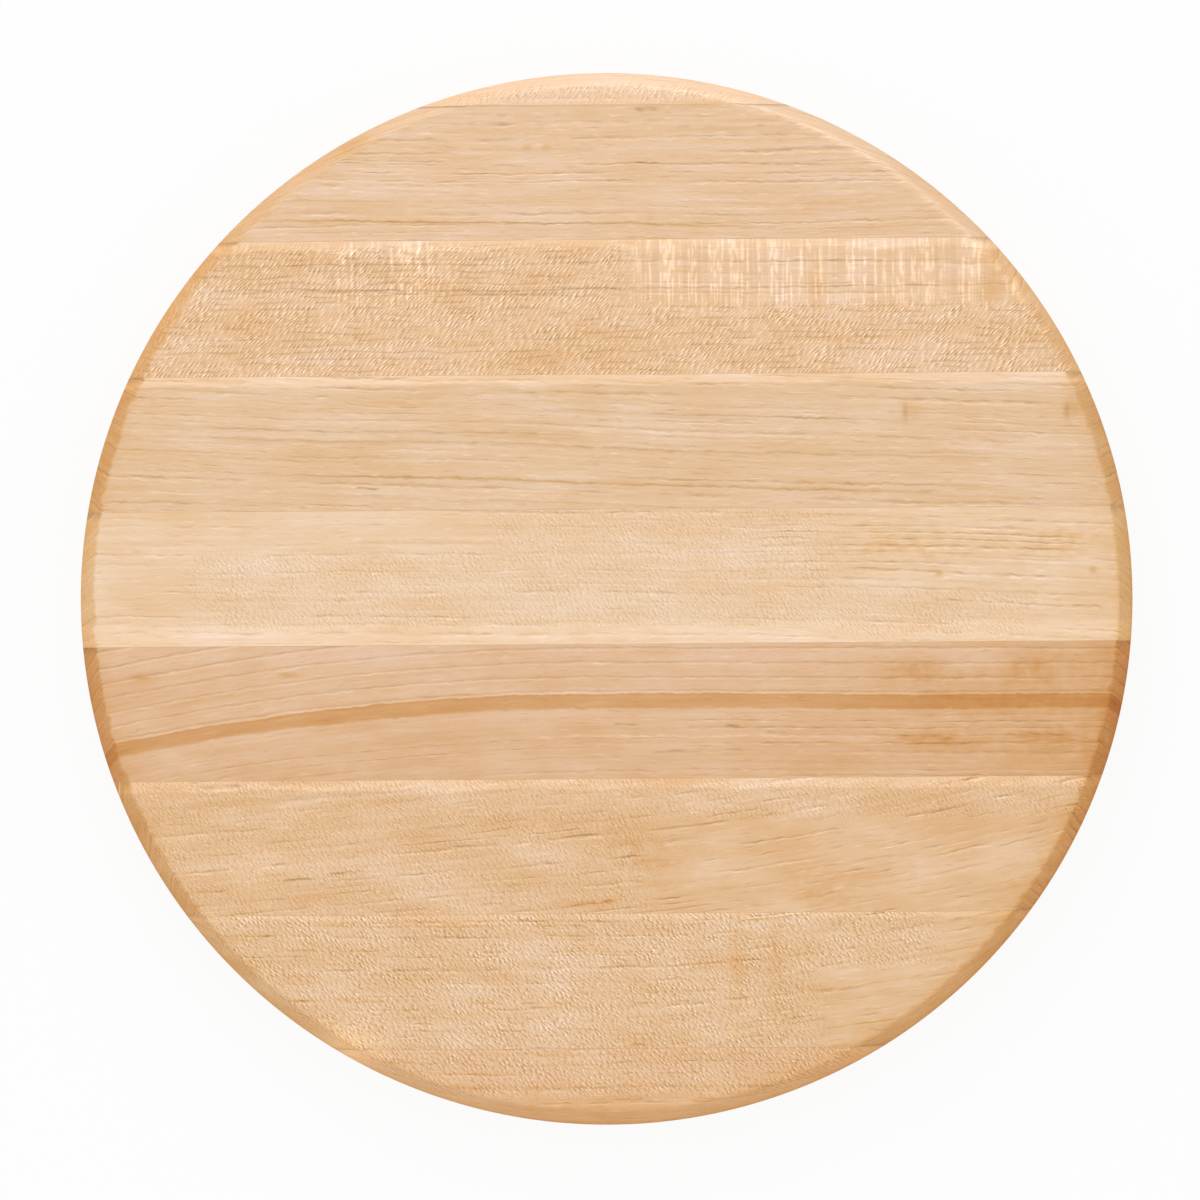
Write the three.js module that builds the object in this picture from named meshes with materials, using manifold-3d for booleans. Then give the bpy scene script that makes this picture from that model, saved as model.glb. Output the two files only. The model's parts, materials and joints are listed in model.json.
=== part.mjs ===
// A round, reversible butcher-block cutting board. Hardwood staves are glued edge to edge into a panel,
// the panel is cut round, and the rim is bevelled and sanded on both faces.
// Millimetres, +Z up. The grain runs along X, and the origin is on the underside, at the board's centre.
import * as THREE from "three";
import { mergeVertices } from "three/addons/utils/BufferGeometryUtils.js";
import Module from "manifold-3d";

// Driving dimensions
const BOARD_DIAMETER = 457.2;
const BOARD_THICKNESS = 38.1;
const STAVE_WIDTH = 58.3; // a full stave, planed, from one joint to the next
const BACK_STAVE_WIDTH = 14.3; // what the round cut leaves of the outermost stave at the back (+Y)
const GLUE_THICKNESS = 0.15; // the cured film in one joint
const BEVEL_WIDTH = 6; // across the rim, seen from above
const BEVEL_DEPTH = 6; // down the wall of the rim
const ARRIS_RADIUS = 1.5; // sanding on each corner of a bevel

// Facets
const RIM_STEPS = 180; // round the whole rim
const ARRIS_STEPS = 1; // in half an arris

// Looks: the timber runs from pale sapwood to a stave with heartwood in it
const TIMBER_COLOURS = {
  pale: 0xedcba8,
  plain: 0xe7c29d,
  honey: 0xebc39b,
  heart: 0xdeb389,
  straw: 0xe3bc93,
};
const LAYUP = ["pale", "plain", "honey", "plain", "pale", "heart", "straw", "straw", "straw"];
const GLUE_COLOUR = 0xa87a4c;
const OILED_WOOD_ROUGHNESS = 0.55;
const GLUE_ROUGHNESS = 0.4;

const boardRadius = BOARD_DIAMETER / 2;
const flatRadius = boardRadius - BEVEL_WIDTH;

const wasm = await Module();
wasm.setup();

// A closed geometry as a solid that can be cut. Triangles that collapse on the axis are dropped.
function solidFrom(geometry) {
  const bare = new THREE.BufferGeometry();
  bare.setAttribute("position", geometry.getAttribute("position"));
  bare.setIndex(geometry.getIndex());
  const merged = mergeVertices(bare);
  const corners = merged.getIndex().array;
  const kept = [];
  for (let i = 0; i < corners.length; i += 3) {
    const [a, b, c] = corners.subarray(i, i + 3);
    if (a !== b && b !== c && c !== a) kept.push(a, b, c);
  }
  const mesh = new wasm.Mesh({
    numProp: 3,
    vertProperties: merged.getAttribute("position").array,
    triVerts: new Uint32Array(kept),
  });
  return new wasm.Manifold(mesh);
}

// A cut solid as the geometry of a mesh.
function geometryFrom(solid) {
  const { vertProperties, triVerts } = solid.getMesh();
  const geometry = new THREE.BufferGeometry();
  geometry.setAttribute("position", new THREE.BufferAttribute(vertProperties, 3));
  geometry.setIndex(new THREE.BufferAttribute(triVerts, 1));
  geometry.computeVertexNormals();
  return geometry;
}

// Rounds one left-hand corner of a path with an arc that is tangent to both of its sides.
function easeCorner(path, before, corner, after) {
  const into = corner.clone().sub(before).normalize();
  const out = after.clone().sub(corner).normalize();
  const turn = Math.acos(into.dot(out));
  const setback = ARRIS_RADIUS * Math.tan(turn / 2);
  const left = new THREE.Vector2(-into.y, into.x);
  const start = corner.clone().addScaledVector(into, -setback);
  const centre = start.clone().addScaledVector(left, ARRIS_RADIUS);
  const startAngle = into.angle() - Math.PI / 2;
  path.lineTo(start.x, start.y);
  path.absarc(centre.x, centre.y, ARRIS_RADIUS, startAngle, startAngle + turn);
}

// Half of the board's cross-section: out along the underside, up round the rim and back along the top.
function boardProfile() {
  const corners = [
    new THREE.Vector2(0, 0),
    new THREE.Vector2(flatRadius, 0),
    new THREE.Vector2(boardRadius, BEVEL_DEPTH),
    new THREE.Vector2(boardRadius, BOARD_THICKNESS - BEVEL_DEPTH),
    new THREE.Vector2(flatRadius, BOARD_THICKNESS),
    new THREE.Vector2(0, BOARD_THICKNESS),
  ];
  const path = new THREE.Path();
  path.moveTo(corners[0].x, corners[0].y);
  for (let i = 1; i < corners.length - 1; i++) {
    easeCorner(path, corners[i - 1], corners[i], corners[i + 1]);
  }
  const end = corners[corners.length - 1];
  path.lineTo(end.x, end.y);
  return path.getPoints(ARRIS_STEPS);
}

// The whole board as it is turned, before it is told apart into staves and glue.
const turnedBoard = solidFrom(new THREE.LatheGeometry(boardProfile(), RIM_STEPS).rotateX(Math.PI / 2));

// What the turned board holds between two planes that run along the grain. Neighbours share a plane exactly.
function sliceOfBoard(low, high) {
  const strip = new THREE.Shape();
  strip.moveTo(-BOARD_DIAMETER, low);
  strip.lineTo(BOARD_DIAMETER, low);
  strip.lineTo(BOARD_DIAMETER, high);
  strip.lineTo(-BOARD_DIAMETER, high);
  strip.closePath();
  const depth = 3 * BOARD_THICKNESS;
  const block = new THREE.ExtrudeGeometry(strip, { depth, bevelEnabled: false });
  block.translate(0, 0, -BOARD_THICKNESS);
  return turnedBoard.intersect(solidFrom(block));
}

// The centre lines of the joints. The panel is laid up from the back of the board (+Y) to the front, and the
// front stave is what the round cut leaves of the last one. A joint never falls in the front bevel.
function jointLines() {
  const pitch = STAVE_WIDTH + GLUE_THICKNESS;
  const firstLine = boardRadius - BACK_STAVE_WIDTH - GLUE_THICKNESS / 2;
  const lines = [];
  for (let y = firstLine; y > -flatRadius; y -= pitch) lines.push(y);
  return lines;
}

const joints = jointLines();
const glueBacks = joints.map((y) => y + GLUE_THICKNESS / 2);
const glueFronts = joints.map((y) => y - GLUE_THICKNESS / 2);

// The outer staves are named by their place, and the full ones between them are numbered from the back.
function staveName(i) {
  if (i === 0) return "back_stave";
  return i === joints.length ? "front_stave" : `stave_${i}`;
}

// Staves
const staves = new THREE.Group();
const staveBacks = [BOARD_DIAMETER, ...glueFronts];
const staveFronts = [...glueBacks, -BOARD_DIAMETER];
staveBacks.forEach((back, i) => {
  const timber = new THREE.MeshStandardMaterial({
    color: TIMBER_COLOURS[LAYUP[i % LAYUP.length]],
    roughness: OILED_WOOD_ROUGHNESS,
    metalness: 0,
  });
  const stave = new THREE.Mesh(geometryFrom(sliceOfBoard(staveFronts[i], back)), timber);
  stave.name = staveName(i);
  staves.add(stave);
});

// Glue lines, numbered from the back
const glueLines = new THREE.Group();
const curedGlue = new THREE.MeshStandardMaterial({
  color: GLUE_COLOUR,
  roughness: GLUE_ROUGHNESS,
  metalness: 0,
});
joints.forEach((_, i) => {
  const film = new THREE.Mesh(geometryFrom(sliceOfBoard(glueFronts[i], glueBacks[i])), curedGlue);
  film.name = `glue_line_${i + 1}`;
  glueLines.add(film);
});

const board = new THREE.Group();
board.add(staves, glueLines);

export default board;
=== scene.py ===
# A round butcher-block cutting board of edge-glued hardwood staves, on a pale studio floor, seen from above.
# Meshes are in metres, as the frame is. The wood's figure is in millimetres.
import itertools
import json
import math
from dataclasses import dataclass

import bmesh
import bpy
from mathutils import Color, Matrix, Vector


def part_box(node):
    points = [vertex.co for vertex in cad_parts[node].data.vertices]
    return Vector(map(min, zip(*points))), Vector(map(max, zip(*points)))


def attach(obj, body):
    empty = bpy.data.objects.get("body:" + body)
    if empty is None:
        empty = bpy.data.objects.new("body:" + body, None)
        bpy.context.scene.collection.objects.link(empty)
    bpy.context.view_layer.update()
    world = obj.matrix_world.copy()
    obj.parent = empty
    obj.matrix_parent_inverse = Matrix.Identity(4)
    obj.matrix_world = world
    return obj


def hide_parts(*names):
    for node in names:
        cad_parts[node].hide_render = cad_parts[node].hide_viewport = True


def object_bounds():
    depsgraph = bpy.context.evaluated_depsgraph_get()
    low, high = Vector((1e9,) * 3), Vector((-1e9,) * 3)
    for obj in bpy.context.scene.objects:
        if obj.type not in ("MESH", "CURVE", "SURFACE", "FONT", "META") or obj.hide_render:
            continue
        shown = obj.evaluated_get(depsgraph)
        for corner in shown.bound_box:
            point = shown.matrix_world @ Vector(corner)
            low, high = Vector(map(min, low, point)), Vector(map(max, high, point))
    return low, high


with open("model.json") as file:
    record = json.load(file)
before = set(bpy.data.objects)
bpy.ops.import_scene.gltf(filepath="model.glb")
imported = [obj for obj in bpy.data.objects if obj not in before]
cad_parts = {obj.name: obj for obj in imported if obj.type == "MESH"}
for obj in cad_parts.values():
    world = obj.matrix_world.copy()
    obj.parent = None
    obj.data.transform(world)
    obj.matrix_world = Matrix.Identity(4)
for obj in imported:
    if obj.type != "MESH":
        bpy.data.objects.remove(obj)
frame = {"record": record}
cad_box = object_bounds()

MM = 0.001

# The rim, as the solids have it
BEVEL_WIDTH = 6 * MM
BEVEL_DEPTH = 6 * MM
ARRIS_RADIUS = 1.5 * MM
ARRIS_STEPS = 6
RIM_STEP = math.radians(1)
WELD_DISTANCE = 0.001 * MM

# The board, from the frame
board_radius = (cad_box[1].x - cad_box[0].x) / 2
board_top = cad_box[1].z
flat_radius = board_radius - BEVEL_WIDTH
slots = {part["node"]: part["material_slot"] for part in frame["record"]["subparts"]}

# The photograph: the board's place in it, in pixels, and the lens that it suits
PHOTO_SIDE = 1200
BOARD_ACROSS = 1052
BOARD_CENTRE = (606.65, 598.9)
LENS = 180.0
SENSOR = 36.0
CAMERA_ROLL = math.radians(-0.4)

# Light: the key and the sky together light the work face at a level of 1
KEY_LEVEL = 0.13
KEY_AZIMUTH = math.radians(106)
KEY_ELEVATION = math.radians(32)
KEY_DISTANCE = 2.5
KEY_SIZE = 1.4
FLOOR_RADIUS = 20.0
FLOOR_SIDES = 180
FLOOR_LAP = 1 * MM
FLOOR_COLOUR = (0.9, 0.9, 0.9, 1.0)
FLOOR_GLOW = 0.9
WHITE = (1.0, 1.0, 1.0, 1.0)

# Wood: what one unit of stain leaves of red, green and blue light, in the figure with its painted highlight,
# and where oil soaks in and the rim's painted shade lies
FIGURE_AND_HIGHLIGHT_STAIN = (0.62, 0.565, 0.465)
OIL_AND_SHADE_STAIN = (0.857, 0.69, 0.44)
WOOD_ROUGHNESS = 0.5
FINE_ROUGHNESS = 0.2
WOOD_SPECULAR = 0.3
BUMP_STRENGTH = 0.12
BUMP_DEPTH = 0.05 * MM
GLUE_COLOUR = "cda074"
GLUE_UNEVEN = 0.8
GLUE_SIZE = (25, 10, 8)
GLUE_DETAIL = 2.0
GLUE_ROUGHNESS = 0.4

# Oil on the rim: it soaks in at the ends of the fibres, most of all on an axis a little askew to the grain.
# Painted shade adds to it on the front and the right, away from the key lamp: the dark band reaches farther
# in there, the fringe is stronger, and a dark line runs along the bevel's outer corner.
OIL_AXIS = math.radians(-12)
SHADE_LEAN = math.radians(-60)
BEVEL_OIL = 1.02
SIDE_OIL = -0.03
SHADE_REACH = 1.0
OIL_STRAY = 2.0
OIL_SOFT = 1.0
OUTER_OIL = 0.25
CORNER_SHADE = 0.6
CORNER_SHADE_WIDTH = 1.0
FRINGE_OIL_AND_SHADE = 0.3
FRINGE_WIDTH = 7.0
FRINGE_EVEN = 0.5
PORE_SIZE = (2.0, 0.6)
PORE_DEPTH = 0.4

# Painted highlight: a pale line on the inner corner of the bevel, at the back on the right, where the light
# catches the arris
HIGHLIGHT_AZIMUTH = math.radians(62)
HIGHLIGHT_SPREAD = (0.72, 1.0)
HIGHLIGHT_STAIN = -0.28
HIGHLIGHT_WIDTH = 2.0

# Sizes of the patterns in the wood, along and across the grain, in millimetres, and how much finer detail
# they have, where they have any
DRIFT_SIZE = (90, 40)
RIPPLE_SIZE = (18, 6, 2.5)
JITTER_SIZE = (3.0, 2.4)
FADE_SIZE = (6, 1.2)
FIBRE_SIZE = (12, 0.7, 2.0)
FLECK_SIZE = (8, 0.75)
SPECKLE_SIZE = (0.9, 0.9)
BAND_SIZE = (70, 2.0, 1.0)
BLOTCH_SIZE = (18, 9, 1.0)
CLOUD_SIZE = (55, 16, 2.0)
WOBBLE_SIZE = (16, 7)
PATCH_SIZE = (14, 8)
BAR_SIZE = (1.3, 40)
BAR_BREAK_SIZE = (1.6, 5)
BAR_BAND_SIZE = (6, 40)
BAR_END_SIZE = (4, 40)
EDGE_SIZE = (25, 20)
RAGGED_SIZE = (5, 5, 1.0)
HEART_SIZE = (30, 2.5)

# How strong the patterns are, and how soft their edges
JITTER = 0.4
FADE_DEPTH = 1.6
FADE_LEVEL = 0.9
SPECKLE_STAIN = 0.06
FLECK_RISE = (0.32, 0.58)
RING_DEPTH = 60
SOFT_END = 12.0
SOFT_SIDE = 3.0
SOFT_RING = 1.0

# Places in the noise between one stave and the next
SEED_STEP = 101


# Arithmetic on nodes


class Field:
    """A number that varies over a surface: a node's output, with the usual arithmetic."""

    def __init__(self, tree, socket):
        self.tree = tree
        self.socket = socket

    def __add__(self, other):
        return maths("ADD", self, other)

    def __sub__(self, other):
        return maths("SUBTRACT", self, other)

    def __rsub__(self, other):
        return maths("SUBTRACT", other, self)

    def __mul__(self, other):
        return maths("MULTIPLY", self, other)

    def __truediv__(self, other):
        return maths("DIVIDE", self, other)

    def __neg__(self):
        return self * -1.0

    __radd__ = __add__
    __rmul__ = __mul__


def plug(tree, socket, value):
    """Links a field to a socket, or sets the socket to a plain value."""
    if isinstance(value, Field):
        tree.links.new(value.socket, socket)
    else:
        socket.default_value = value


def add_node(tree, kind, settings=None, **values):
    """A new node with its settings and the values of its named sockets."""
    node = tree.nodes.new(kind)
    for name, setting in (settings or {}).items():
        setattr(node, name, setting)
    for name, value in values.items():
        plug(tree, node.inputs[name], value)
    return node


def maths(operation, *values):
    """A Math node on fields and plain numbers."""
    tree = next(value.tree for value in values if isinstance(value, Field))
    node = add_node(tree, "ShaderNodeMath", {"operation": operation})
    for socket, value in zip(node.inputs, values):
        plug(tree, socket, value)
    return Field(tree, node.outputs[0])


def vector(tree, x, y, z):
    """Three fields as one vector."""
    return Field(tree, add_node(tree, "ShaderNodeCombineXYZ", X=x, Y=y, Z=z).outputs[0])


def split(tree, socket, kind="ShaderNodeSeparateXYZ"):
    """The three numbers of a vector or a colour."""
    node = add_node(tree, kind)
    tree.links.new(socket, node.inputs[0])
    return [Field(tree, output) for output in node.outputs]


def object_place(tree):
    """Where a point lies along X, Y and Z, in millimetres."""
    place = tree.nodes.new("ShaderNodeTexCoord")
    return [axis / MM for axis in split(tree, place.outputs["Object"])]


def at_least(field, floor):
    """The field, or a plain number where the field is lower."""
    return maths("MAXIMUM", field, floor)


def ramp(field, start, end):
    """0 before start and 1 after end, with an eased rise between them."""
    settings = {"interpolation_type": "SMOOTHSTEP"}
    node = add_node(field.tree, "ShaderNodeMapRange", settings, Value=field)
    node.inputs["From Min"].default_value = start
    node.inputs["From Max"].default_value = end
    return Field(field.tree, node.outputs[0])


def between(field, low, high, soft):
    """1 from low to high and 0 outside, with eased edges."""
    return ramp(field, low - soft, low + soft) * ramp(field, high + soft, high - soft)


def fall(field):
    """1 where the field is 0, falling to almost 0 where it is 4."""
    return maths("POWER", math.e, -field)


def bell(field):
    """1 where the field is 0, falling to almost 0 where it is 2 or -2."""
    return fall(field * field)


def centred(field):
    """A number from 0 to 1, spread out from -1 to 1."""
    return (field - 0.5) * 2.0


def from_whole(field):
    """How far a number is from the nearest whole number."""
    return maths("PINGPONG", field, 0.5)


def noise(x, y, z, detail=0.0):
    """Smooth noise, about -1 to 1, with one swell per unit."""
    tree = x.tree
    node = add_node(tree, "ShaderNodeTexNoise", Vector=vector(tree, x, y, z), Scale=1.0, Detail=detail)
    return centred(Field(tree, node.outputs[0]))


def cells(x, y, loose):
    """How far a place is from the nearest of some points, in x and in y, and three random numbers for that
    point. There is one point in each unit square, out of its middle if loose."""
    tree = x.tree
    settings = {"voronoi_dimensions": "2D"}
    place = vector(tree, x, y, 0.0)
    node = add_node(tree, "ShaderNodeTexVoronoi", settings, Vector=place, Scale=1.0, Randomness=loose)
    point_x, point_y, _ = split(tree, node.outputs["Position"])
    chances = split(tree, node.outputs["Color"], "ShaderNodeSeparateColor")
    return x - point_x, y - point_y, chances


def scatter(index):
    """A random number from 0 to 1 for each whole number."""
    node = add_node(index.tree, "ShaderNodeTexWhiteNoise", {"noise_dimensions": "1D"}, W=index)
    return Field(index.tree, node.outputs[0])


# Grain


class Grain:
    """Where a point lies in its stave: along the grain, across the stave and below the work face, and where
    the growth ring through it comes out on the face. All in millimetres."""

    def __init__(self, tree, timber, middle, half_width, seed):
        self.tree = tree
        self.timber = timber
        self.half_width = half_width
        self.layers = itertools.count(seed)
        along, across, height = object_place(tree)
        self.along = along
        self.across = across - middle / MM
        self.depth = height - board_top / MM
        self.out = maths("SQRT", along * along + across * across)
        self.place_along = along / self.out
        self.place_across = across / self.out
        self.ring = self.ring_through(self.straightened())
        self.fading = at_least(self.streaks(*FADE_SIZE) * FADE_DEPTH + FADE_LEVEL, 0.0)

    def layer(self):
        """A fresh place in the noise, so that no two patterns are alike."""
        return float(next(self.layers))

    def straightened(self):
        """Across, with the slope, bow and wander of the grain taken out."""
        timber = self.timber
        left = maths("MINIMUM", self.along, 0.0)
        right = maths("MAXIMUM", self.along, 0.0)
        bow = left * left * timber.bow[0] + right * right * timber.bow[1]
        drift = self.clouds(*DRIFT_SIZE) * timber.wander
        ripple = self.clouds(*RIPPLE_SIZE) * timber.ripple
        jitter = self.clouds(*JITTER_SIZE) * (timber.ripple * JITTER)
        return self.across - timber.slope * self.along + bow + drift + ripple + jitter

    def ring_at(self, distance):
        """Where a growth ring at some distance from the pith meets the work face, across the stave, on a
        scale that is true at the stave's middle."""
        pith_across, pith_depth = self.timber.pith
        radius = math.hypot(pith_across, pith_depth)
        return (distance - radius) * (-radius / pith_across)

    def ring_through(self, straight):
        """The growth ring through a point."""
        pith_across, pith_depth = self.timber.pith
        side = straight - pith_across
        below = self.depth - pith_depth
        return self.ring_at(maths("SQRT", side * side + below * below))

    def face_place(self, across):
        """The growth ring through a place across the work face."""
        pith_across, pith_depth = self.timber.pith
        return self.ring_at(math.hypot(across - pith_across, pith_depth))

    def streaks(self, length, width, detail=0.0):
        """Noise that is drawn out along the grain and follows the growth rings."""
        return noise(self.along / length, self.ring / width, self.depth / RING_DEPTH + self.layer(), detail)

    def clouds(self, length, width, detail=0.0):
        """Noise that is drawn out along the stave and takes no heed of the rings."""
        return noise(self.along / length, self.across / width, self.depth / width + self.layer(), detail)

    def parts(self, places, stray=0.0):
        """1 in some parts of the stave, with soft edges that may stray across it."""
        across = self.across + stray
        shares = [between(self.along, *x, SOFT_END) * between(across, *y, SOFT_SIDE) for x, y in places]
        return sum(shares[1:], shares[0])

    def ring_part(self, along, across):
        """1 in a part of the stave whose sides follow the growth rings."""
        low, high = (self.face_place(side) for side in across)
        return between(self.along, *along, SOFT_END) * between(self.ring, low, high, SOFT_RING)

    def inward(self):
        """How far a point is from the bevel's inner corner, towards the board's middle."""
        return flat_radius / MM - self.out

    def on_faces(self):
        """1 on the work face and the underside, falling to 0 on the wall of the rim."""
        return ramp(self.inward(), -BEVEL_WIDTH / MM, 0.0)

    def towards(self, azimuth):
        """1 in a direction from the board's middle, falling to -1 opposite."""
        return self.place_along * math.cos(azimuth) + self.place_across * math.sin(azimuth)


# Figure of the wood


WHOLE_LENGTH = (-300, 300)
WHOLE_WIDTH = (-60, 60)
WHOLE = (WHOLE_LENGTH, WHOLE_WIDTH)


@dataclass(frozen=True)
class Lines:
    """Thin dark lines where a year's growth ends, with paler wood in front of them. They differ in strength,
    and they come and go along the stave."""

    gap: float
    stain: float
    width: float = 0.42
    first: float = 0.0  # where one of them would lie if they were even
    uneven: float = 0.9  # in the gaps, as a share
    shown: float = 0.0  # the higher, the less of them shows
    steady: float = 0.2  # strength of the weakest
    stretch: float = 40.0
    broken: float = 1.0
    pale: float = 0.5
    along: tuple = WHOLE_LENGTH
    across: tuple = WHOLE_WIDTH

    DRIFT_GAPS = 3.0  # the gaps change over so many of them
    DRIFT_LENGTH = 500
    DRIFT_DEPTH = 400
    PALE_OFF = 2.2  # widths from the dark line to the middle of the pale one
    COUSINS = 40  # years between one set of lines and the next
    APART = 7.7  # noise cells between one line and the next
    STRETCH_DEPTH = 200
    STRETCH_SOFT = 0.2
    STRETCH_DETAIL = 1.0

    def on(self, grain):
        ring = grain.ring / (self.DRIFT_GAPS * self.gap)
        depth = grain.depth / self.DRIFT_DEPTH + grain.layer()
        drift = noise(ring, grain.along / self.DRIFT_LENGTH, depth)
        count = (grain.ring - grain.face_place(self.first)) / self.gap + drift * self.uneven
        year = maths("ROUND", count)
        offset = (count - year) * self.gap
        dark = bell(offset / self.width)
        pale = bell(offset / self.width + self.PALE_OFF)
        rank = year + self.COUSINS * grain.layer()
        strength = scatter(rank) * (1.0 - self.steady) + self.steady
        depth = grain.depth / self.STRETCH_DEPTH
        stretches = noise(grain.along / self.stretch, rank * self.APART, depth, self.STRETCH_DETAIL)
        shown = ramp(stretches, self.shown - self.STRETCH_SOFT, self.shown + self.STRETCH_SOFT)
        fading = (grain.fading - 1.0) * self.broken + 1.0
        line = (dark - pale * self.pale) * strength * shown * fading * self.stain
        return line * grain.ring_part(self.along, self.across)


@dataclass(frozen=True)
class Curl:
    """Short dark strokes that lean across the grain, in rows, each with a pale one beside it. The rows are
    staggered, and a dark line may part them."""

    lean: float  # degrees from the grain
    stain: float
    row: float = 1.8
    loose: float = 1.0
    parting: float = 0.0
    parts: tuple = (WHOLE,)

    SPACING = 1.8  # from stroke to stroke in a row
    STAGGER = 0.5  # of the strokes in one row against the next, as a share of the spacing
    LENGTH = 0.42  # of half a stroke, in rows
    WIDTH = 0.36  # of half a stroke
    TURN = 0.4  # how much one leans more than another
    DARK_PLACE = -0.27
    PALE_PLACE = 0.43
    PALE = 0.75
    CHANCE = (0.4, 1.6)  # strength of the weakest stroke and the strongest
    WOBBLE = 0.5
    PATCHES = (0.7, 1.0)
    RAKE = (0.6, 0.3)  # of the strokes as they go down into the wood, along and across
    PARTING_SIZE = (14, 9)
    PARTING_WIDTH = 0.4
    PARTING_SHOWN = (-0.15, 0.25)
    APART = 5.1  # noise cells between one parting and the next

    def strokes(self, along, rows):
        """The strokes alone, with the same chance to be strong everywhere."""
        lean = math.radians(self.lean)
        step = self.row / math.tan(lean) + self.SPACING * self.STAGGER
        right, back, (chance, turn, _) = cells((along - rows * step) / self.SPACING, rows, self.loose)
        sideways = (right + back * self.STAGGER) * (-self.SPACING * math.sin(lean))
        sideways = sideways + back * centred(turn) * self.TURN
        dark = bell((sideways - self.DARK_PLACE) / self.WIDTH)
        pale = bell((sideways - self.PALE_PLACE) / self.WIDTH)
        weakest, strongest = self.CHANCE
        strength = chance * (strongest - weakest) + weakest
        return (dark - pale * self.PALE) * bell(back / self.LENGTH) * strength

    def partings(self, grain, rows):
        """Dark lines between the rows, which come and go."""
        length, depth = self.PARTING_SIZE
        off = from_whole(rows) * self.row
        shown = noise(grain.along / length, maths("ROUND", rows) * self.APART, grain.depth / depth)
        return bell(off / self.PARTING_WIDTH) * ramp(shown, *self.PARTING_SHOWN)

    def on(self, grain):
        rake_along, rake_across = self.RAKE
        wobble = grain.clouds(*WOBBLE_SIZE) * (self.WOBBLE * self.row)
        rows = (grain.across + grain.depth * rake_across + wobble) / self.row + grain.layer()
        swing, level = self.PATCHES
        patchy = at_least(grain.clouds(*PATCH_SIZE) * swing + level, 0.0)
        figure = self.strokes(grain.along + grain.depth * rake_along, rows) * patchy * self.stain
        if self.parting:
            figure = figure + self.partings(grain, rows) * self.parting
        return figure * grain.parts(self.parts) * grain.on_faces()


@dataclass(frozen=True)
class Bars:
    """Narrow pale bars straight across the grain, in broader pale bands, with ragged ends."""

    stain: float
    parts: tuple

    BREAKS = (-0.3, 0.2)
    PALE_RISE = (-0.15, 0.35)
    DARK_RISE = (-0.1, -0.4)
    DARK = 0.2
    BAND = 0.25
    STRAY = 6.0

    def on(self, grain):
        swells = grain.clouds(*BAR_SIZE)
        breaks = ramp(grain.clouds(*BAR_BREAK_SIZE), *self.BREAKS)
        bars = ramp(swells, *self.PALE_RISE) * breaks - ramp(swells, *self.DARK_RISE) * self.DARK
        bands = grain.clouds(*BAR_BAND_SIZE) * self.BAND
        stray = grain.clouds(*BAR_END_SIZE) * self.STRAY
        return (bars + bands) * grain.parts(self.parts, stray) * grain.on_faces() * -self.stain


@dataclass(frozen=True)
class Stroke:
    """One dark or pale line along the grain, from start to end."""

    start: float
    end: float
    across: float
    stain: float
    width: float = 0.45
    rise: float = 0.0
    broken: float = 1.0

    TAPER = 1 / 6  # of its length, at each end

    def on(self, grain):
        length = self.end - self.start
        path = grain.face_place(self.across) + (grain.along - self.start) * (self.rise / length)
        line = bell((grain.ring - path) / self.width)
        reach = between(grain.along, self.start, self.end, length * self.TAPER)
        fading = (grain.fading - 1.0) * self.broken + 1.0
        return line * reach * fading * self.stain


@dataclass(frozen=True)
class Spot:
    """A soft dark or pale patch in the work face, of uneven strength if ragged."""

    along: float
    across: float
    length: float
    width: float
    stain: float
    ragged: float = 0.0

    DEPTH = 12  # how deep it goes into the wood

    def on(self, grain):
        along = (grain.along - self.along) / self.length
        across = (grain.across - self.across) / self.width
        depth = grain.depth / self.DEPTH
        spot = fall(along * along + across * across + depth * depth) * self.stain
        if self.ragged:
            spot = spot * (grain.clouds(*RAGGED_SIZE) * self.ragged + 1.0)
        return spot


@dataclass(frozen=True)
class Edge:
    """A paler or darker strip along one edge of a stave, of uneven width."""

    side: int  # 1 at the back, -1 in front
    width: float
    stain: float
    ragged: float = 1.5

    SOFT = 0.8

    def on(self, grain):
        place = grain.across * self.side + grain.clouds(*EDGE_SIZE) * self.ragged
        inner = grain.half_width - self.width
        return ramp(place, inner - self.SOFT, inner + self.SOFT) * self.stain


@dataclass(frozen=True)
class Heart:
    """A streak of dark heartwood along the grain, with a darker line on its back edge."""

    across: float
    thickness: float
    stain: float

    BACK_SOFT = 0.3
    FRONT_SOFT = 0.7
    UNEVEN = 0.3
    LINE = 0.35
    LINE_WIDTH = 0.4

    def on(self, grain):
        place = grain.ring - grain.face_place(self.across)
        half = self.thickness / 2
        back = ramp(place, half + self.BACK_SOFT, half - self.BACK_SOFT)
        front = ramp(place, -half - self.FRONT_SOFT, -half + self.FRONT_SOFT)
        line = bell((place - half + self.BACK_SOFT) / self.LINE_WIDTH) * self.LINE
        uneven = grain.streaks(*HEART_SIZE) * self.UNEVEN + 1.0
        return (back * front * uneven + line) * self.stain


@dataclass(frozen=True)
class Timber:
    """The figure of one stave. Along is measured from the board's middle, across from the stave's middle to
    its back, in millimetres. The pith is the heart of the tree that the stave was sawn from."""

    colour: str
    pith: tuple  # across, and below the work face
    slope: float = 0.0
    bow: tuple = (0.0, 0.0)  # of the grain, to the left and the right of the middle
    wander: float = 1.5
    ripple: float = 1.0
    fibres: float = 0.14
    bands: float = 0.3
    clouds: float = 0.25
    blotches: float = 0.15
    flecks: float = 0.22
    # More oil on this stave's rim, less where below 0. The higher values on the staves in front are partly
    # painted shade, on the side away from the key lamp
    rim: float = 0.0
    figure: tuple = ()
    oiled: tuple = ()


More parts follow.
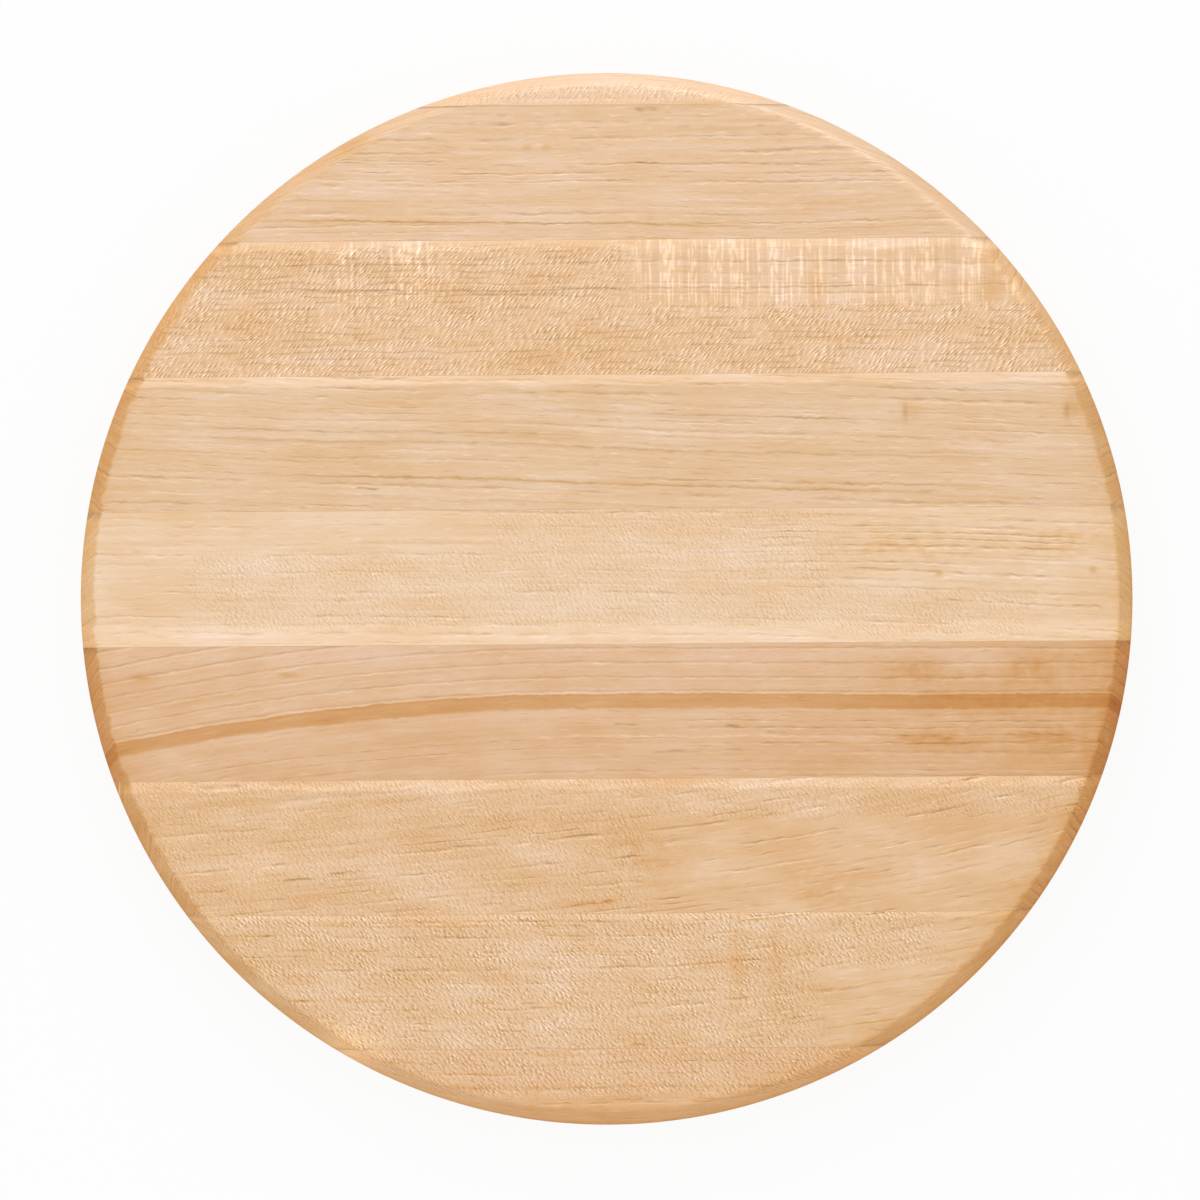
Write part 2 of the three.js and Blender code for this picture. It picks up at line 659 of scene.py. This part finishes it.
TIMBERS = {
    "back_stave": Timber(
        colour="f3d0b0",
        pith=(60, -120),
        rim=0.03,
        figure=(
            Curl(lean=55, stain=0.4, parts=((WHOLE_LENGTH, (-6, 2)),)),
            Lines(gap=3.5, stain=0.3),
        ),
        oiled=(Spot(45, 0, 40, 20, 0.17),),
    ),
    "stave_1": Timber(
        colour="e7c29d",
        pith=(80, -160),
        bands=0.5,
        clouds=0.35,
        rim=-0.15,
        figure=(
            Lines(gap=4.7, stain=0.5, shown=-0.05, stretch=35, steady=0.1, broken=0.8),
            Lines(gap=3.1, stain=0.38, width=0.32, shown=0.15, stretch=16),
            Stroke(-140, 45, -20.5, 0.35, width=0.5, rise=-3, broken=0.4),
            Stroke(14, 24, 3.6, 0.6),
            Stroke(14, 23, 27, 0.5),
            Stroke(68, 76, 3, 0.5),
            Stroke(58, 74, -24, 0.5),
        ),
        oiled=(
            Stroke(-140, 45, -20.5, 0.6, width=0.6, rise=-3, broken=0.4),
            Spot(-111, 12.8, 9, 5, 0.5, ragged=1.0),
            Spot(-33, 10.9, 2, 1.5, 0.5),
            Spot(-25, 10.9, 2, 1.5, 0.5),
        ),
    ),
    "stave_2": Timber(
        colour="ebc39a",
        pith=(-120, -150),
        clouds=0.45,
        blotches=0.3,
        fibres=0.1,
        rim=-0.05,
        figure=(
            Edge(1, 4.0, -0.25, ragged=3),
            Curl(
                lean=50,
                stain=0.57,
                row=2.7,
                loose=0.6,
                parting=0.45,
                parts=(((-230, 10), (-40, 27)), ((10, 230), (-40, 1))),
            ),
            Bars(stain=0.47, parts=(((10, 200), (-1, 29)), ((-118, -72), (0, 29)))),
            Lines(gap=5.2, stain=0.4, shown=-0.1, broken=0.5, along=(-125, 200), across=(0, 26)),
            Stroke(-160, 170, 18.5, 0.4, width=0.4, rise=1.5),
            Stroke(-165, 178, 7.5, 0.5, width=0.4, rise=1.4),
        ),
        oiled=(
            Spot(92, 8, 3.5, 11, 0.4),
            Spot(168, 8, 3.5, 11, 0.4),
            Spot(-7, -16, 25, 7, 0.25),
            Spot(115, 14, 70, 16, -0.2),
        ),
    ),
    "stave_3": Timber(
        colour="e6c29c",
        pith=(-150, -80),
        slope=-0.035,
        bands=0.42,
        clouds=0.4,
        rim=0.15,
        figure=(
            Edge(1, 4.2, -0.3),
            Lines(gap=4.4, stain=0.45, shown=-0.05, stretch=35, steady=0.1, broken=0.8),
            Lines(gap=2.9, stain=0.33, width=0.32, shown=0.15, stretch=16),
            Stroke(-168, -20, 2, 0.4, broken=0.6),
            Stroke(-170, 155, -2.5, 0.4, broken=0.6),
            Stroke(-29, 123, 12.5, 0.4, broken=0.6),
            Stroke(-140, 130, -18, 0.3, broken=0.4),
            Stroke(10, 150, -15, 0.25, broken=0.6),
            Stroke(-108, -99, -23, 0.7, width=0.5),
            Stroke(-46, -30, 19.7, 0.4),
            Stroke(-3, 7, 9, 0.5),
            Stroke(49, 59, 10.3, 0.4),
            Spot(130, 12, 1.2, 3.5, 0.45),
            Spot(200, 12, 1.2, 3.5, 0.45),
        ),
        oiled=(
            Stroke(-140, 130, -18, 0.5, width=0.55, broken=0.4),
            Stroke(10, 150, -15, 0.4, width=0.55, broken=0.6),
            Spot(133, 13, 5, 4, 0.4),
            Spot(203, 13, 4, 4, 0.4),
        ),
    ),
    "stave_4": Timber(
        colour="edcba7",
        pith=(120, -90),
        bow=(0.0, 1.3e-4),
        fibres=0.1,
        clouds=0.4,
        flecks=0.18,
        figure=(
            Edge(-1, 9.0, -0.15),
            Lines(gap=3.6, stain=0.4, shown=0.0, stretch=25),
            Curl(
                lean=-50,
                stain=0.25,
                parts=(
                    ((-180, -50), (-22, 12)),
                    ((-50, 100), (-22, 29)),
                    ((100, 185), (-27, -6)),
                ),
            ),
            Lines(gap=3.2, stain=0.6, shown=-0.1, along=(70, 200), across=(-5, 29)),
            Stroke(141, 159, -8, 0.5),
            Stroke(203, 214, -8, 0.5),
            Stroke(186, 198, -27.2, 0.5),
            Stroke(122, 131, -28, 0.5),
        ),
        oiled=(
            Spot(130, 13, 30, 8, 0.4, ragged=1.5),
            Spot(198, 14, 16, 7, 0.35, ragged=1.5),
            Spot(144, 0.4, 1.6, 1.3, 0.9),
            Spot(211, 1.6, 1.6, 1.3, 0.9),
            Spot(-226, 0, 10, 30, -0.38),
        ),
    ),
    "stave_5": Timber(
        colour="e3ba94",
        pith=(120, -90),
        slope=-0.006,
        bow=(4.7e-4, 0.0),
        wander=0.6,
        ripple=0.85,
        fibres=0.12,
        bands=0.3,
        clouds=0.45,
        blotches=0.25,
        flecks=0.18,
        rim=0.4,
        figure=(
            Lines(gap=5.7, stain=0.42, width=0.4, first=9.4, uneven=0.15, shown=-0.8, steady=0.7,
                  broken=0.45, across=(8, 60)),
            Lines(gap=5.2, stain=0.35, width=0.4, shown=-0.1, along=(-300, 40), across=(-60, -1)),
            Lines(gap=3.6, stain=0.45, shown=-0.1, along=(30, 300), across=(-60, -1)),
            Stroke(-230, 230, 8.3, -0.06, width=0.5),
            Stroke(-20, 80, -10.6, -0.3, width=0.6),
            Stroke(3, 13, -5.4, 0.6),
            Stroke(51, 57, -6.2, 0.6),
            Stroke(21, 40, -17.3, 0.4),
            Stroke(69, 77, -9.3, 0.5),
        ),
        oiled=(
            Heart(across=4.4, thickness=6.2, stain=0.9),
            Stroke(0, 80, 4.4, -0.12, width=4.5, broken=0.0),
            Stroke(122, 270, 4.4, 0.35, width=4.5, broken=0.0),
            Spot(-202, 16, 4, 1.2, 0.7),
            Spot(-138, 16.5, 4, 1.2, 0.7),
            Stroke(124, 152, -11, 0.6, width=1.4),
            Stroke(132, 166, -13.5, 0.45, width=1.2),
            Stroke(172, 200, -10.5, 0.6, width=1.4),
            Stroke(180, 216, -13, 0.45, width=1.2),
            Spot(145, -13, 16, 6, 0.25, ragged=1.4),
            Spot(192, -13, 16, 6, 0.25, ragged=1.4),
            Spot(136, 17, 13, 6, 0.5, ragged=1.4),
            Spot(183, 18, 13, 6, 0.5, ragged=1.4),
            Spot(210, 0, 90, 40, 0.4, ragged=1.0),
            Spot(0, -30, 400, 24, 0.2),
        ),
    ),
    "stave_6": Timber(
        colour="e6bd92",
        pith=(90, -120),
        slope=0.08,
        bow=(0.0, -4e-4),
        fibres=0.1,
        clouds=0.65,
        blotches=0.25,
        rim=0.41,
        figure=(
            Edge(1, 4.3, -0.25),
            Lines(gap=3.6, stain=0.75, shown=0.08, stretch=20),
            Curl(lean=-50, stain=0.32, parts=(((-230, 20), WHOLE_WIDTH), ((20, 230), (12, 29)))),
            Stroke(-140, -128, -2.9, 0.7, width=0.6),
            Stroke(-120, -107, -1.7, 0.7, width=0.6),
            Spot(-150, -10, 14, 14, -0.08),
        ),
        oiled=(
            Stroke(-16, 2, -23.2, 1.2, width=0.9),
            Spot(15, -5, 22, 12, 0.35, ragged=2.0),
            Spot(95, -20, 18, 8, 0.25, ragged=2.0),
        ),
    ),
    "stave_7": Timber(
        colour="e8c198",
        pith=(-100, -140),
        bow=(0.0, -6e-4),
        clouds=0.5,
        blotches=0.3,
        fibres=0.1,
        rim=0.34,
        figure=(
            Edge(1, 2.5, -0.2),
            Curl(lean=-50, stain=0.56, parts=(((-230, 90), WHOLE_WIDTH), ((90, 140), (6, 40)))),
            Lines(gap=5.5, stain=0.65, width=0.38, shown=0.1, steady=0.4, stretch=18),
            Spot(-114, -29, 14, 10, -0.5),
        ),
        oiled=(
            Lines(gap=6.5, stain=0.75, width=0.4, shown=0.05, steady=0.4, stretch=18, pale=0.1),
            Spot(55.6, 8, 4, 18, 0.3),
            Spot(73, 8, 4, 18, 0.3),
        ),
    ),
    "front_stave": Timber(
        colour="e7bc91",
        pith=(-100, -140),
        fibres=0.1,
        blotches=0.3,
        rim=0.3,
        figure=(
            Curl(lean=-50, stain=0.54, parts=((WHOLE_LENGTH, (-4, 40)),)),
            Lines(gap=6, stain=0.55, width=0.38, shown=0.1, steady=0.4, stretch=18),
            Spot(-114, 14, 14, 8, -0.6),
            Spot(114, 14, 14, 8, -0.25),
        ),
        oiled=(
            Lines(gap=5, stain=0.75, width=0.4, shown=0.05, steady=0.4, stretch=18, pale=0.1),
            Spot(0, -16, 400, 10, 0.4),
        ),
    ),
}


# Materials


def fine_figure(grain):
    """Fine streaks along the grain, short dark and pale dashes, and a speckle."""
    timber = grain.timber
    fibres = grain.streaks(*FIBRE_SIZE) * timber.fibres
    dark = ramp(grain.streaks(*FLECK_SIZE), *FLECK_RISE)
    pale = ramp(grain.streaks(*FLECK_SIZE), *FLECK_RISE)
    speckle = grain.clouds(*SPECKLE_SIZE) * SPECKLE_STAIN
    return fibres + (dark - pale) * timber.flecks + speckle


def tone(grain):
    """Broad streaks along the grain, blotches and slow changes of colour."""
    timber = grain.timber
    bands = grain.streaks(*BAND_SIZE) * timber.bands
    blotches = grain.clouds(*BLOTCH_SIZE) * timber.blotches
    return bands + blotches + grain.clouds(*CLOUD_SIZE) * timber.clouds


def pores(grain):
    """How much oil the open ends of the fibres take, about 1."""
    length, width = PORE_SIZE
    swells = noise(grain.across / width, grain.depth / width, grain.along / length)
    return swells * PORE_DEPTH + 1.0


def rim_oil_and_shade(grain):
    """The oil that the rim drank: most in the bevels and the wall, with a fringe on the faces beside it.
    Painted shade is added on the front and the right, away from the key lamp: the dark band reaches farther
    in there, the fringe is stronger, and a dark line runs along the bevel's outer corner.
    """
    ends = grain.towards(OIL_AXIS)
    soaked_and_shaded = ends * ends * BEVEL_OIL + (SIDE_OIL + grain.timber.rim)
    # shaded_side is 1 on the front right, away from the key lamp, and 0 on the back left: it places the
    # painted shade
    shaded_side = (grain.towards(SHADE_LEAN) + 1.0) / 2.0
    ragged = grain.clouds(*RAGGED_SIZE)
    inward = grain.inward() + ragged * OIL_STRAY - shaded_side * SHADE_REACH
    rim = ramp(inward, OIL_SOFT, -OIL_SOFT)
    outer = ramp(inward, 0.0, -BEVEL_WIDTH / MM) * OUTER_OIL + 1.0
    fringe = fall(at_least(inward, 0.0) / FRINGE_WIDTH) * (shaded_side + FRINGE_EVEN) * (ragged + 1.0)
    # Painted shade: a dark line along the bevel's outer corner, on the front and right
    corner = bell((grain.depth + BEVEL_DEPTH / MM) / CORNER_SHADE_WIDTH) * shaded_side * CORNER_SHADE
    return soaked_and_shaded * (rim * outer * pores(grain) + (1.0 - rim) * fringe * FRINGE_OIL_AND_SHADE) + corner


def painted_corner_highlight(grain):
    """A painted highlight: pale colour along the bevel's inner corner, where the light catches it."""
    line = bell(grain.inward() / HIGHLIGHT_WIDTH)
    return line * ramp(grain.towards(HIGHLIGHT_AZIMUTH), *HIGHLIGHT_SPREAD) * grain.fading * HIGHLIGHT_STAIN


def linear_colour(code):
    """The linear red, green and blue of a hexadecimal sRGB colour."""
    levels = [level / 255 for level in bytes.fromhex(code)]
    return Color(levels).from_srgb_to_scene_linear()


def stained(tree, colour, *stains):
    """A colour after stains. Each is what one unit of it leaves of the light, and a number of units."""
    for unit, amount in stains:
        left = add_node(tree, "ShaderNodeVectorMath", {"operation": "POWER"})
        left.inputs[0].default_value = unit
        plug(tree, left.inputs[1], amount)
        product = add_node(tree, "ShaderNodeVectorMath", {"operation": "MULTIPLY"})
        plug(tree, product.inputs[0], colour)
        tree.links.new(left.outputs[0], product.inputs[1])
        colour = Field(tree, product.outputs[0])
    return colour


def wood(name, timber, middle, half_width, seed):
    """Oiled hardwood with the figure that a timber describes."""
    material = bpy.data.materials.new(name)
    material.use_nodes = True
    tree = material.node_tree
    shader = tree.nodes["Principled BSDF"]
    grain = Grain(tree, timber, middle, half_width, seed)
    fine = fine_figure(grain)
    # The figure carries the painted highlight on the bevel's inner corner, and oil_and_shade carries the
    # rim's painted shade
    figure = sum((mark.on(grain) for mark in timber.figure), fine + painted_corner_highlight(grain))
    oil_and_shade = sum((mark.on(grain) for mark in timber.oiled), rim_oil_and_shade(grain) + tone(grain))
    colour = stained(tree, linear_colour(timber.colour), (FIGURE_AND_HIGHLIGHT_STAIN, figure), (OIL_AND_SHADE_STAIN, oil_and_shade))
    plug(tree, shader.inputs["Base Color"], colour)
    plug(tree, shader.inputs["Roughness"], fine * FINE_ROUGHNESS + WOOD_ROUGHNESS)
    shader.inputs["Specular IOR Level"].default_value = WOOD_SPECULAR
    bump = add_node(tree, "ShaderNodeBump", Height=-figure, Strength=BUMP_STRENGTH, Distance=BUMP_DEPTH)
    tree.links.new(bump.outputs[0], shader.inputs["Normal"])
    return material


def glue():
    """Cured glue, sanded flush and a little uneven in colour."""
    material = bpy.data.materials.new("glue")
    material.use_nodes = True
    tree = material.node_tree
    shader = tree.nodes["Principled BSDF"]
    place = [axis / size for axis, size in zip(object_place(tree), GLUE_SIZE)]
    uneven = noise(*place, GLUE_DETAIL) * GLUE_UNEVEN
    colour = stained(tree, linear_colour(GLUE_COLOUR), (FIGURE_AND_HIGHLIGHT_STAIN, uneven))
    plug(tree, shader.inputs["Base Color"], colour)
    shader.inputs["Roughness"].default_value = GLUE_ROUGHNESS
    return material


# Meshes


def eased_corner(before, corner, after):
    """Points on the arc that rounds a left-hand corner of the rim's section."""
    into = (corner - before).normalized()
    out = (after - corner).normalized()
    turn = into.angle(out)
    left = Vector((-into.y, into.x))
    start = corner - into * (ARRIS_RADIUS * math.tan(turn / 2))
    centre = start + left * ARRIS_RADIUS
    first = math.atan2(-left.y, -left.x)
    angles = [first + turn * step / ARRIS_STEPS for step in range(ARRIS_STEPS + 1)]
    return [centre + ARRIS_RADIUS * Vector((math.cos(angle), math.sin(angle))) for angle in angles]


def rim_section():
    """The rim in section, as radius and height, from the underside's edge to the work face's."""
    corners = [
        Vector((0, 0)),
        Vector((flat_radius, 0)),
        Vector((board_radius, BEVEL_DEPTH)),
        Vector((board_radius, board_top - BEVEL_DEPTH)),
        Vector((flat_radius, board_top)),
        Vector((0, board_top)),
    ]
    points = []
    for before, corner, after in zip(corners, corners[1:], corners[2:]):
        points += eased_corner(before, corner, after)
    return points


def slice_mesh(name, low, high):
    """What the turned board holds between two planes along the grain, at low and high across it."""
    def turn_to(y, radius):
        return math.asin(max(-1.0, min(1.0, y / radius)))

    section = rim_section()
    widest = turn_to(high, board_radius) - turn_to(low, board_radius)
    columns = max(1, math.ceil(widest / RIM_STEP))
    shape = bmesh.new()

    def corner(side, row, column):
        radius, height = section[row]
        start = turn_to(low, radius)
        angle = start + (turn_to(high, radius) - start) * column / columns
        return shape.verts.new((side * radius * math.cos(angle), radius * math.sin(angle), height))

    def sheet(a, b, smooth):
        """A strip of faces between two rows of corners, facing out where a runs before b."""
        for i in range(len(a) - 1):
            shape.faces.new((a[i], a[i + 1], b[i + 1], b[i])).smooth = smooth

    rows = range(len(section))
    right = [[corner(1, row, column) for column in range(columns + 1)] for row in rows]
    left = [[corner(-1, row, column) for column in range(columns + 1)] for row in rows]
    for row in rows[:-1]:
        sheet(right[row], right[row + 1], True)
        sheet(left[row + 1], left[row], True)
    sheet(right[-1], left[-1], False)
    sheet(left[0], right[0], False)
    sheet([line[0] for line in left], [line[0] for line in right], False)
    sheet([line[-1] for line in right], [line[-1] for line in left], False)
    bmesh.ops.remove_doubles(shape, verts=shape.verts, dist=WELD_DISTANCE)
    bmesh.ops.dissolve_degenerate(shape, edges=shape.edges, dist=WELD_DISTANCE)
    mesh = bpy.data.meshes.new(name)
    shape.to_mesh(mesh)
    shape.free()
    return mesh


# Assembly


def add_piece(node, material):
    """The piece that stands for a node of the frame, with its finish."""
    low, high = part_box(node)
    name = f"{node}_wood" if node in TIMBERS else f"{node}_film"
    piece = bpy.data.objects.new(name, slice_mesh(node, low.y, high.y))
    bpy.context.scene.collection.objects.link(piece)
    piece.data.materials.append(material)
    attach(piece, "root")
    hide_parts(node)


def add_board():
    for number, (node, timber) in enumerate(TIMBERS.items()):
        low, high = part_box(node)
        middle = (low.y + high.y) / 2
        half_width = (high.y - low.y) / 2 / MM
        add_piece(node, wood(f"{node}_timber", timber, middle, half_width, SEED_STEP * number))
    film = glue()
    for node in slots:
        if node not in TIMBERS:
            add_piece(node, film)


# Studio


def seen_rays(tree):
    """1 for rays that show a surface to the camera, straight or in a reflection or through glass."""
    path = tree.nodes.new("ShaderNodeLightPath")
    names = ("Is Camera Ray", "Is Glossy Ray", "Is Transmission Ray")
    camera, glossy, through = (Field(tree, path.outputs[name]) for name in names)
    return maths("MINIMUM", camera + glossy + through, 1.0)


def floor_mesh():
    """A wide disc, open under the board but for a narrow lap, so that the underside has its light and shows
    from below."""
    ring = bmesh.new()
    for radius in (flat_radius - FLOOR_LAP, FLOOR_RADIUS):
        bmesh.ops.create_circle(ring, radius=radius, segments=FLOOR_SIDES)
    bmesh.ops.bridge_loops(ring, edges=ring.edges)
    mesh = bpy.data.meshes.new("floor")
    ring.to_mesh(mesh)
    ring.free()
    return mesh


def floor_paint():
    """A pale paint that looks white and still takes the board's shadow."""
    material = bpy.data.materials.new("floor")
    material.use_nodes = True
    tree = material.node_tree
    tree.nodes.remove(tree.nodes["Principled BSDF"])
    paint = add_node(tree, "ShaderNodeBsdfDiffuse", Color=FLOOR_COLOUR)
    glow = add_node(tree, "ShaderNodeEmission", Color=WHITE, Strength=1.0)
    mix = add_node(tree, "ShaderNodeMixShader", Fac=seen_rays(tree) * FLOOR_GLOW)
    tree.links.new(paint.outputs[0], mix.inputs[1])
    tree.links.new(glow.outputs[0], mix.inputs[2])
    tree.links.new(mix.outputs[0], tree.nodes["Material Output"].inputs["Surface"])
    return material


def add_floor():
    floor = bpy.data.objects.new("floor", floor_mesh())
    floor.data.materials.append(floor_paint())
    bpy.context.scene.collection.objects.link(floor)


def add_sky():
    """An even white surround that is a little dimmer as a light than as a background."""
    world = bpy.data.worlds.new("studio")
    world.use_nodes = True
    tree = world.node_tree
    light = tree.nodes["Background"]
    light.inputs["Color"].default_value = WHITE
    light.inputs["Strength"].default_value = 1.0 - KEY_LEVEL
    backdrop = add_node(tree, "ShaderNodeBackground", Color=WHITE, Strength=1.0)
    mix = add_node(tree, "ShaderNodeMixShader", Fac=seen_rays(tree))
    tree.links.new(light.outputs[0], mix.inputs[1])
    tree.links.new(backdrop.outputs[0], mix.inputs[2])
    tree.links.new(mix.outputs[0], tree.nodes["World Output"].inputs["Surface"])
    bpy.context.scene.world = world


def add_key():
    """A soft lamp behind the board, a little to the left. Its power gives KEY_LEVEL on the work face."""
    lamp = bpy.data.lights.new("key", "AREA")
    lamp.size = KEY_SIZE
    lamp.energy = KEY_LEVEL * math.pi ** 2 * KEY_DISTANCE ** 2 / math.sin(KEY_ELEVATION)
    key = bpy.data.objects.new("key", lamp)
    reach = KEY_DISTANCE * math.cos(KEY_ELEVATION)
    rise = KEY_DISTANCE * math.sin(KEY_ELEVATION)
    away = Vector((math.cos(KEY_AZIMUTH) * reach, math.sin(KEY_AZIMUTH) * reach, rise))
    key.location = away + Vector((0, 0, board_top))
    key.rotation_euler = away.to_track_quat("Z", "Y").to_euler()
    bpy.context.scene.collection.objects.link(key)


def add_camera():
    """Straight down on the board, which takes up the same part of the frame as in the photograph."""
    data = bpy.data.cameras.new("camera")
    data.lens = LENS
    data.sensor_width = SENSOR
    pixel = 2 * board_radius / BOARD_ACROSS
    distance = PHOTO_SIDE * pixel * LENS / SENSOR
    camera = bpy.data.objects.new("camera", data)
    aim_x = (PHOTO_SIDE / 2 - BOARD_CENTRE[0]) * pixel
    aim_y = (BOARD_CENTRE[1] - PHOTO_SIDE / 2) * pixel
    camera.location = (aim_x, aim_y, board_top - BEVEL_DEPTH + distance)
    camera.rotation_euler = (0, 0, CAMERA_ROLL)
    bpy.context.scene.collection.objects.link(camera)
    bpy.context.scene.camera = camera


add_camera()
add_board()
add_floor()
add_sky()
add_key()
bpy.context.scene.view_settings.view_transform = "Standard"
